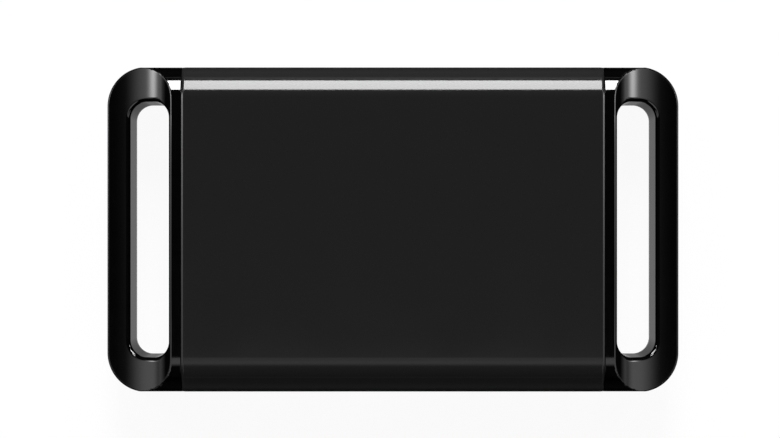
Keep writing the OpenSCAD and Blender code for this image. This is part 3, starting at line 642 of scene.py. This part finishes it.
# Cap: a shallow dish over the spine, falling by the square of the distance from its rim, then a
# quarter round and a straight wall
def makeButton():
    b = buttonShape
    spine, aim = stadiumSpine(b["halfRun"], 34)
    flatTo = b["radius"] - b["round"]
    inner = np.linspace(0.02, 1, 12) * flatTo
    dip = b["dish"] * (1 - (inner / flatTo) ** 2) ** 2
    turn = np.linspace(0, math.pi / 2, 9)[1:]
    reach = np.concatenate([inner, flatTo + b["round"] * np.sin(turn), [b["radius"], 0.02]])
    depth = np.concatenate([dip, b["round"] * (1 - np.cos(turn)), [b["depth"], b["depth"]]])
    flat = spine[None] + aim[None] * reach[:, None, None] + np.array(b["centre"])
    y = b["face"] + depth[:, None] * np.ones(len(spine))
    p = np.stack([flat[..., 0], y, flat[..., 1]], -1)
    piece = quadObject("button_cap", p.reshape(-1, 3), gridQuads(len(reach), len(spine), False, True))
    cleanMesh(piece, b["sharp"], merge=0.001)
    return piece


# Lens of each pipe: a low dome that falls by the square of the radius, a small round and the wall
def makePipes():
    s = pipeShape
    turn = np.linspace(0, 2 * math.pi, 48, endpoint=False)
    flatTo = s["radius"] - s["round"]
    inner = np.linspace(0.01, 1, 8) * flatTo
    arc = np.linspace(0, math.pi / 2, 6)[1:]
    reach = np.concatenate([inner, flatTo + s["round"] * np.sin(arc), [s["radius"], 0.01]])
    depth = np.concatenate([s["dome"] * (inner / flatTo) ** 2 - s["dome"],
                            s["round"] * (1 - np.cos(arc)), [s["depth"], s["depth"]]])
    points = []
    faces = []
    quads = gridQuads(len(reach), len(turn), False, True)
    for centre in s["centres"]:
        x = centre[0] + reach[:, None] * np.cos(turn)
        z = centre[1] + reach[:, None] * np.sin(turn)
        y = s["face"] + depth[:, None] * np.ones(len(turn))
        faces.append(quads + sum(len(q) for q in points))
        points.append(np.stack([x, y, z], -1).reshape(-1, 3))
    piece = quadObject("pipe_lenses", np.concatenate(points), np.concatenate(faces))
    cleanMesh(piece, s["sharp"], merge=0.001)
    return piece


buttonCap = makeButton()
buttonStem = cutNode("power_button", "button_stem", [((0, buttonShape["cutAt"], 0), (0, -1, 0))])
pipeLenses = makePipes()
pipeCollars = cutNode("light_pipes", "pipe_collars", [((0, pipeShape["cutAt"], 0), (0, -1, 0))])
print("cover, button and pipes done")


# Material with its tree, its Principled shader and the object's own coordinates
def startMaterial(name):
    material = bpy.data.materials.new(name)
    material.use_nodes = True
    tree = material.node_tree
    shader = tree.nodes["Principled BSDF"]
    place = tree.nodes.new("ShaderNodeTexCoord")
    return material, tree, shader, place.outputs["Object"]


# Noise of a scale and a number of octaves, stretched along the axes if asked
def noise(tree, place, scale, detail=3, stretch=None):
    node = tree.nodes.new("ShaderNodeTexNoise")
    node.inputs["Scale"].default_value = scale
    node.inputs["Detail"].default_value = detail
    if stretch:
        turn = tree.nodes.new("ShaderNodeMapping")
        turn.inputs["Scale"].default_value = stretch
        tree.links.new(place, turn.inputs["Vector"])
        place = turn.outputs["Vector"]
    tree.links.new(place, node.inputs["Vector"])
    return node.outputs["Fac"]


# Carries a value from one range to another, evenly or as a smooth S
def mapped(tree, value, low, high, toLow, toHigh, kind="LINEAR"):
    node = tree.nodes.new("ShaderNodeMapRange")
    node.interpolation_type = kind
    node.inputs["From Min"].default_value = low
    node.inputs["From Max"].default_value = high
    node.inputs["To Min"].default_value = toLow
    node.inputs["To Max"].default_value = toHigh
    tree.links.new(value, node.inputs["Value"])
    return node.outputs["Result"]


# Sum, product or the like of values that are numbers or results of nodes
def worked(tree, operation, *values):
    node = tree.nodes.new("ShaderNodeMath")
    node.operation = operation
    for socket, value in zip(node.inputs, values):
        if isinstance(value, (int, float)):
            socket.default_value = value
        else:
            tree.links.new(value, socket)
    return node.outputs[0]


# Values that are written on the points of a mesh
def written(tree, name):
    node = tree.nodes.new("ShaderNodeAttribute")
    node.attribute_name = name
    return node.outputs["Fac"]


# Colour between two tints by a value
def tinted(tree, value, first, second):
    node = tree.nodes.new("ShaderNodeMix")
    node.data_type = "RGBA"
    node.inputs["A"].default_value = (*first, 1)
    node.inputs["B"].default_value = (*second, 1)
    tree.links.new(value, node.inputs["Factor"])
    return node.outputs["Result"]


# Normal bent by a value as a height, its depth in millimetres
def bumped(tree, value, strength, depth):
    node = tree.nodes.new("ShaderNodeBump")
    node.inputs["Strength"].default_value = strength
    node.inputs["Distance"].default_value = depth * mm
    tree.links.new(value, node.inputs["Height"])
    return node.outputs["Normal"]


# Painted shade by the piece's written dullness: the mirror level falls and the roughness rises, and the
# rim takes away what is left of the mirror, so sloping faces lose their reflection
def dullAndShadeEdges(tree, shader, fine, look):
    dullAndShade = written(tree, "dullAndShade")
    level = mapped(tree, dullAndShade, 0, 1, look["mirror"], look["mirrorShaded"])
    kept = worked(tree, "MULTIPLY", level, mapped(tree, written(tree, "rim"), 0, 1, 1, 0))
    tree.links.new(kept, shader.inputs["Specular IOR Level"])
    blend = tree.nodes.new("ShaderNodeMix")
    blend.inputs["B"].default_value = look["roughDull"]
    tree.links.new(dullAndShade, blend.inputs["Factor"])
    tree.links.new(fine, blend.inputs["A"])
    tree.links.new(blend.outputs["Result"], shader.inputs["Roughness"])


# Polished black moulding: faint broad waves, hairline marks in the roughness and a little dust
glossLook = {
    "dark": (0.0004, 0.0004, 0.0005),
    "light": (0.001, 0.001, 0.0011),
    "rough": (0.05, 0.08),
    "roughDull": 0.1,
    "mirror": 0.75,         # level of the mirror reflection where polished
    "mirrorShaded": 0.003,    # and where painted shade takes it away
    "ior": 1.5,
    "waves": 160,
    "waveStrength": 0.3,
    "waveDepth": 0.004,
    "marks": 2600,
    "marksSpan": (0.35, 0.75),  # span of the marks' noise that the roughness follows
    "dust": 900,
}


def glossFrame():
    look = glossLook
    material, tree, shader, place = startMaterial("glossFrame")
    broad = noise(tree, place, look["waves"], 2)
    marks = noise(tree, place, look["marks"], 4, (1, 0.12, 1))
    dust = noise(tree, place, look["dust"], 6)
    tree.links.new(tinted(tree, dust, look["dark"], look["light"]), shader.inputs["Base Color"])
    fine = mapped(tree, marks, *look["marksSpan"], *look["rough"])
    dullAndShadeEdges(tree, shader, fine, look)
    wavy = bumped(tree, broad, look["waveStrength"], look["waveDepth"])
    tree.links.new(wavy, shader.inputs["Normal"])
    shader.inputs["IOR"].default_value = look["ior"]
    return material


# Satin dark grey moulding: fine spark-erosion grain, slightly uneven sheen
satinLook = {
    "dark": (0.0098, 0.0098, 0.01),
    "light": (0.0128, 0.0128, 0.013),
    "rough": (0.09, 0.12),
    "roughDull": 0.4,
    "mirror": 0.34,
    # mirror level where painted shade takes the reflection away
    "mirrorShaded": 0.015,
    "ior": 1.5,
    "grain": 9000,
    "grainStrength": 0.15,
    "grainDepth": 0.004,
    "cloud": 120,
    "cloudSpan": (0.3, 0.7),
}


def satinCover():
    look = satinLook
    material, tree, shader, place = startMaterial("satinCover")
    grain = noise(tree, place, look["grain"], 3)
    cloud = noise(tree, place, look["cloud"], 3)
    tree.links.new(tinted(tree, grain, look["dark"], look["light"]), shader.inputs["Base Color"])
    fine = mapped(tree, cloud, *look["cloudSpan"], *look["rough"])
    dullAndShadeEdges(tree, shader, fine, look)
    grainy = bumped(tree, grain, look["grainStrength"], look["grainDepth"])
    tree.links.new(grainy, shader.inputs["Normal"])
    shader.inputs["IOR"].default_value = look["ior"]
    return material


# One plain finish: two tints mixed by a pattern, roughness from a second, broader one, and a bump
# from the pattern; the pattern is grain, brushed lines, cells or tracks
def plainFinish(name, first, second, rough=(0.4, 0.55), metal=0.0, scale=3000, depth=0.004,
                pattern="grain", clear=0.0, ior=1.5):
    material, tree, shader, place = startMaterial(name)
    if pattern == "brushed":
        value = noise(tree, place, scale, 4, (0.05, 1, 1))
    elif pattern == "cells":
        node = tree.nodes.new("ShaderNodeTexVoronoi")
        node.inputs["Scale"].default_value = scale
        tree.links.new(place, node.inputs["Vector"])
        value = node.outputs["Distance"]
    elif pattern == "tracks":
        node = tree.nodes.new("ShaderNodeTexBrick")
        node.inputs["Scale"].default_value = scale
        node.inputs["Mortar Size"].default_value = 0.012
        node.inputs["Color1"].default_value = (0.1, 0.1, 0.1, 1)
        node.inputs["Color2"].default_value = (0.35, 0.35, 0.35, 1)
        node.inputs["Mortar"].default_value = (1, 1, 1, 1)
        tree.links.new(place, node.inputs["Vector"])
        value = node.outputs["Color"]
    else:
        value = noise(tree, place, scale, 4)
    broad = noise(tree, place, scale / 12, 3)
    tree.links.new(tinted(tree, value, first, second), shader.inputs["Base Color"])
    tree.links.new(mapped(tree, broad, 0.3, 0.7, *rough), shader.inputs["Roughness"])
    tree.links.new(bumped(tree, value, 0.4, depth), shader.inputs["Normal"])
    shader.inputs["Metallic"].default_value = metal
    shader.inputs["Transmission Weight"].default_value = clear
    shader.inputs["IOR"].default_value = ior
    return material


# One finish for each material slot of the record
finishes = {
    "gloss_frame": glossFrame(),
    "satin_cover": satinCover(),
    "rear_plastic": plainFinish("rearMoulding", (0.012, 0.012, 0.013), (0.02, 0.02, 0.021),
                                (0.42, 0.55), scale=4500, depth=0.012),
    "tape": plainFinish("bondingTape", (0.7, 0.66, 0.55), (0.78, 0.75, 0.64), (0.5, 0.6),
                        scale=700),
    "silicone": plainFinish("siliconeSeal", (0.24, 0.24, 0.26), (0.3, 0.3, 0.32), (0.45, 0.6),
                            scale=1500),
    "black_steel": plainFinish("blackScrew", (0.03, 0.03, 0.032), (0.07, 0.07, 0.074), (0.3, 0.45),
                               metal=0.9, scale=2500, pattern="brushed"),
    "brass": plainFinish("turnedBrass", (0.7, 0.5, 0.2), (0.82, 0.64, 0.32), (0.2, 0.35), metal=1,
                         scale=2500, pattern="brushed"),
    "label_film": plainFinish("blankLabel", (0.03, 0.03, 0.031), (0.045, 0.045, 0.046), (0.5, 0.6),
                              scale=5000, depth=0.003),
    "membrane": plainFinish("ventMembrane", (0.8, 0.8, 0.8), (0.9, 0.9, 0.9), (0.7, 0.85), scale=6000,
                            pattern="cells"),
    "board": plainFinish("greenBoard", (0.008, 0.07, 0.03), (0.03, 0.16, 0.07), (0.25, 0.4), scale=420,
                         depth=0.02, pattern="tracks"),
    "steel": plainFinish("plainSteel", (0.5, 0.5, 0.52), (0.62, 0.62, 0.64), (0.2, 0.35), metal=1,
                         scale=2500, pattern="brushed"),
    "chip_plastic": plainFinish("chipMoulding", (0.02, 0.02, 0.02), (0.04, 0.04, 0.04), (0.5, 0.62),
                                scale=6000, depth=0.006),
    "ceramic": plainFinish("patchCeramic", (0.62, 0.55, 0.44), (0.76, 0.7, 0.6), (0.5, 0.65), scale=2500,
                           pattern="cells"),
    "silver": plainFinish("silverFace", (0.74, 0.74, 0.76), (0.86, 0.86, 0.88), (0.25, 0.4), metal=1,
                          scale=1800, pattern="brushed"),
    "tin_plate": plainFinish("tinPlate", (0.6, 0.6, 0.62), (0.72, 0.72, 0.74), (0.28, 0.42), metal=1,
                             scale=1400),
    "card_plastic": plainFinish("cardWhite", (0.82, 0.82, 0.82), (0.9, 0.9, 0.9), (0.35, 0.45),
                                scale=3000),
    "flex_film": plainFinish("amberFilm", (0.45, 0.22, 0.05), (0.62, 0.36, 0.12), (0.25, 0.35),
                             scale=520, pattern="tracks"),
    "gold_plate": plainFinish("goldPlate", (0.78, 0.55, 0.2), (0.92, 0.72, 0.35), (0.15, 0.28), metal=1,
                              scale=2000, pattern="brushed"),
    "cell_foil": plainFinish("pouchFoil", (0.55, 0.55, 0.57), (0.68, 0.68, 0.7), (0.28, 0.42), metal=0.8,
                             scale=500, depth=0.05, pattern="cells"),
    "foam": plainFinish("darkFoam", (0.05, 0.05, 0.05), (0.12, 0.12, 0.12), (0.85, 0.95), scale=3500,
                        depth=0.06, pattern="cells"),
    "lead_jacket": plainFinish("leadJacket", (0.4, 0.02, 0.02), (0.5, 0.04, 0.04), (0.35, 0.5),
                               scale=1500),
    "connector_plastic": plainFinish("ivoryPlastic", (0.78, 0.76, 0.68), (0.88, 0.86, 0.8), (0.35, 0.5),
                                     scale=2500),
    "button_plastic": plainFinish("buttonSatin", (0.012, 0.012, 0.0125), (0.018, 0.018, 0.0185),
                                  (0.22, 0.3), scale=8000, depth=0.003),
    "seal_rubber": plainFinish("sealRubber", (0.24, 0.02, 0.015), (0.34, 0.04, 0.03), (0.5, 0.65),
                               scale=2500),
    "lamp_plastic": plainFinish("lampLens", (0.82, 0.8, 0.66), (0.92, 0.9, 0.8), (0.2, 0.3),
                                scale=2500),
    "clear_pipe": plainFinish("clearPipe", (0.5, 0.52, 0.55), (0.6, 0.62, 0.66), (0.12, 0.2), scale=900,
                              depth=0.002, clear=0.5, ior=1.49),
}

slotOf = {part["node"]: part["material_slot"] for part in frame["record"]["subparts"]}
for node, slotName in slotOf.items():
    target = nodes[node]
    target.data.materials.clear()
    target.data.materials.append(finishes[slotName])

# Made pieces: finish, body and the node that each takes the place of
madePieces = [
    (endRight, "gloss_frame", "root", "main_frame"),
    (endLeft, "gloss_frame", "root", "main_frame"),
    (frameCore, "gloss_frame", "root", "main_frame"),
    (coverShell, "satin_cover", "root", "front_cover"),
    (buttonCap, "button_plastic", "button", "power_button"),
    (buttonStem, "button_plastic", "button", "power_button"),
    (pipeLenses, "clear_pipe", "root", "light_pipes"),
    (pipeCollars, "clear_pipe", "root", "light_pipes"),
]
for piece, slotName, body, node in madePieces:
    piece.data.materials.clear()
    piece.data.materials.append(finishes[slotName])
    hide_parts(node)
    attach(piece, body)
print("finishes done:", len(finishes))


# Floor and lamps; a lamp's row has azimuth, angle from straight up, distance, width, height, radiance
studio = {
    "floorSize": 6,
    "floorLevel": -0.00004,
    "floorAlbedo": 0.72,
    "floorSeen": 0.06,      # share of plain shading that the eye and the gloss see on the floor
    "floorGlow": 0.938,     # even white added to it
    "keyStrip": (90, 52.6, 1.0, 0.28, 0.62, 23.0),
    "farBoxes": ((42, 138), 48, 1.1, 0.2, 0.2, 16.0),
    "nearBoxes": ((222, 318), 48, 1.1, 0.55, 0.55, 1.1),
}

# Light of the world by direction: y points to the far side, z up; a pair says where a fade is 0 and 1
worldShape = {
    "horizon": 1.0,
    "horizonFade": (0, 0.06),       # from the horizon's level to the ceiling's
    "ceiling": 0.01,
    "raisedTop": (0.17, 0.08),      # the horizon's band stands higher along the long sides
    "raisedSides": (0.35, 0.6),
    "endWindow": (0.35, 0.15),      # how far to the sides the light beyond the ends reaches
    "glow": 5.8,
    "glowBell": (0.145, 0.063),     # height of its middle and how wide it is
    "glowSides": (-0.035, 0.08),
    "soft": 0.93,
    "softTop": (0.57, 0.24),
    "faint": 0.05,
    "faintTop": (0.7, 0.5),
    "foot": 0.1,                    # what is left of the soft light low down on the near side
    "footTop": (-0.03, 0.17),
    "footSides": (-0.035, -0.02),
    "panel": 0.75,
    "panelNear": (-0.43, -0.18),
    "panelFar": (-0.065, -0.085),
    "panelLow": (0.5, 0.8),
}


# Floor: a plain pale plane that lights the object by its own shade, and that the eye, the gloss and
# clear parts see as nearly even white with a little of the object's shadow
def makeFloor():
    half = studio["floorSize"] / 2
    level = studio["floorLevel"]
    mesh = bpy.data.meshes.new("floor")
    corners = [(-half, -half, level), (half, -half, level), (half, half, level), (-half, half, level)]
    mesh.from_pydata(corners, [], [(0, 1, 2, 3)])
    floor = bpy.data.objects.new("floor", mesh)
    scene.collection.objects.link(floor)
    material = bpy.data.materials.new("paleFloor")
    material.use_nodes = True
    tree = material.node_tree
    tree.nodes.remove(tree.nodes["Principled BSDF"])
    out = tree.nodes["Material Output"]
    rays = tree.nodes.new("ShaderNodeLightPath").outputs
    looks = worked(tree, "MAXIMUM", rays["Is Camera Ray"], rays["Is Glossy Ray"])
    looks = worked(tree, "MAXIMUM", looks, rays["Is Transmission Ray"])
    full = tree.nodes.new("ShaderNodeBsdfDiffuse")
    full.inputs["Color"].default_value = (studio["floorAlbedo"],) * 3 + (1,)
    part = tree.nodes.new("ShaderNodeBsdfDiffuse")
    part.inputs["Color"].default_value = (studio["floorSeen"],) * 3 + (1,)
    glow = tree.nodes.new("ShaderNodeEmission")
    glow.inputs["Color"].default_value = (1, 1, 1, 1)
    glow.inputs["Strength"].default_value = studio["floorGlow"]
    seen = tree.nodes.new("ShaderNodeAddShader")
    tree.links.new(part.outputs[0], seen.inputs[0])
    tree.links.new(glow.outputs[0], seen.inputs[1])
    mix = tree.nodes.new("ShaderNodeMixShader")
    tree.links.new(looks, mix.inputs["Fac"])
    tree.links.new(full.outputs[0], mix.inputs[1])
    tree.links.new(seen.outputs[0], mix.inputs[2])
    tree.links.new(mix.outputs[0], out.inputs["Surface"])
    mesh.materials.append(material)


# World: a pale band at the horizon under a dark ceiling; beyond each end of the object a glow that
# falls as a bell curve with height, over a soft light; and a panel high up on the near side; each is
# a product of smooth fades, and the eye sees all of it plain white
def makeWorld():
    w = worldShape
    world = bpy.data.worlds.new("studioWorld")
    scene.world = world
    world.use_nodes = True
    tree = world.node_tree
    background = tree.nodes["Background"]
    place = tree.nodes.new("ShaderNodeTexCoord")
    split = tree.nodes.new("ShaderNodeSeparateXYZ")
    tree.links.new(place.outputs["Generated"], split.inputs[0])
    y = split.outputs["Y"]
    z = split.outputs["Z"]

    def product(first, *others):
        for other in others:
            first = worked(tree, "MULTIPLY", first, other)
        return first

    def smooth(value, span, toLow=0.0, toHigh=1.0):
        return mapped(tree, value, *span, toLow, toHigh, "SMOOTHSTEP")

    def bell(value, centre, width):
        away = worked(tree, "DIVIDE", worked(tree, "SUBTRACT", value, centre), width)
        return worked(tree, "EXPONENT", product(away, away, -1.0))

    sideways = worked(tree, "ABSOLUTE", y)
    window = smooth(sideways, w["endWindow"])
    horizon = smooth(z, w["horizonFade"], w["horizon"], w["ceiling"])
    raised = product(smooth(z, w["raisedTop"]), smooth(sideways, w["raisedSides"]), w["horizon"])
    horizon = worked(tree, "MAXIMUM", horizon, raised)
    glow = product(bell(z, *w["glowBell"]), w["glow"], smooth(y, w["glowSides"]), window)
    faint = product(smooth(z, w["faintTop"]), w["faint"])
    soft = worked(tree, "ADD", product(smooth(z, w["softTop"]), w["soft"]), faint)
    foot = worked(tree, "MAXIMUM", smooth(z, w["footTop"], w["foot"], 1), smooth(y, w["footSides"]))
    soft = product(soft, foot, window)
    panel = product(smooth(y, w["panelFar"]), smooth(y, w["panelNear"]), smooth(z, w["panelLow"]),
                    w["panel"])
    total = worked(tree, "ADD", worked(tree, "ADD", horizon, glow), worked(tree, "ADD", soft, panel))
    rays = tree.nodes.new("ShaderNodeLightPath").outputs
    total = worked(tree, "MAXIMUM", total, rays["Is Camera Ray"])
    tree.links.new(total, background.inputs["Strength"])
    background.inputs["Color"].default_value = (1, 1, 1, 1)


# Soft rectangular lamp in a direction given by its azimuth and its angle from straight up, facing
# the object; its power is its radiance times its area times pi
def softLamp(name, azimuth, fromZenith, distance, width, height, radiance):
    data = bpy.data.lights.new(name, "AREA")
    data.shape = "RECTANGLE"
    data.size = width
    data.size_y = height
    data.energy = radiance * width * height * math.pi
    lamp = bpy.data.objects.new(name, data)
    a = math.radians(azimuth)
    t = math.radians(fromZenith)
    lamp.location = (distance * math.sin(t) * math.cos(a), distance * math.sin(t) * math.sin(a),
                     distance * math.cos(t))
    lamp.rotation_euler = (t, 0, a + math.pi / 2)
    lamp.visible_camera = False
    scene.collection.objects.link(lamp)


makeFloor()
makeWorld()
softLamp("keyStrip", *studio["keyStrip"])
for name in ("farBoxes", "nearBoxes"):
    azimuths, *rest = studio[name]
    for azimuth in azimuths:
        softLamp(name + str(azimuth), azimuth, *rest)

# Camera straight above the front face
view = {
    "above": 333,           # height of the eye over the front face
    "seenWidth": 94.66,     # width that the picture takes in at the front face
    "shiftX": -2.94,        # pixels that the object lies off the picture's centre
    "shiftY": 10.5,
    "pixels": 780,          # width of the picture
    "sensor": 36,
}
camera = bpy.data.objects.new("camera", bpy.data.cameras.new("camera"))
camera.data.sensor_width = view["sensor"]
camera.data.lens = view["sensor"] * view["above"] / view["seenWidth"]
camera.data.shift_x = view["shiftX"] / view["pixels"]
camera.data.shift_y = view["shiftY"] / view["pixels"]
camera.data.clip_start = 0.01
camera.data.clip_end = 20
camera.location = (0, 0, (endShape["height"] + view["above"]) * mm)
scene.collection.objects.link(camera)
scene.camera = camera
scene.view_settings.view_transform = "Standard"
print("studio done")
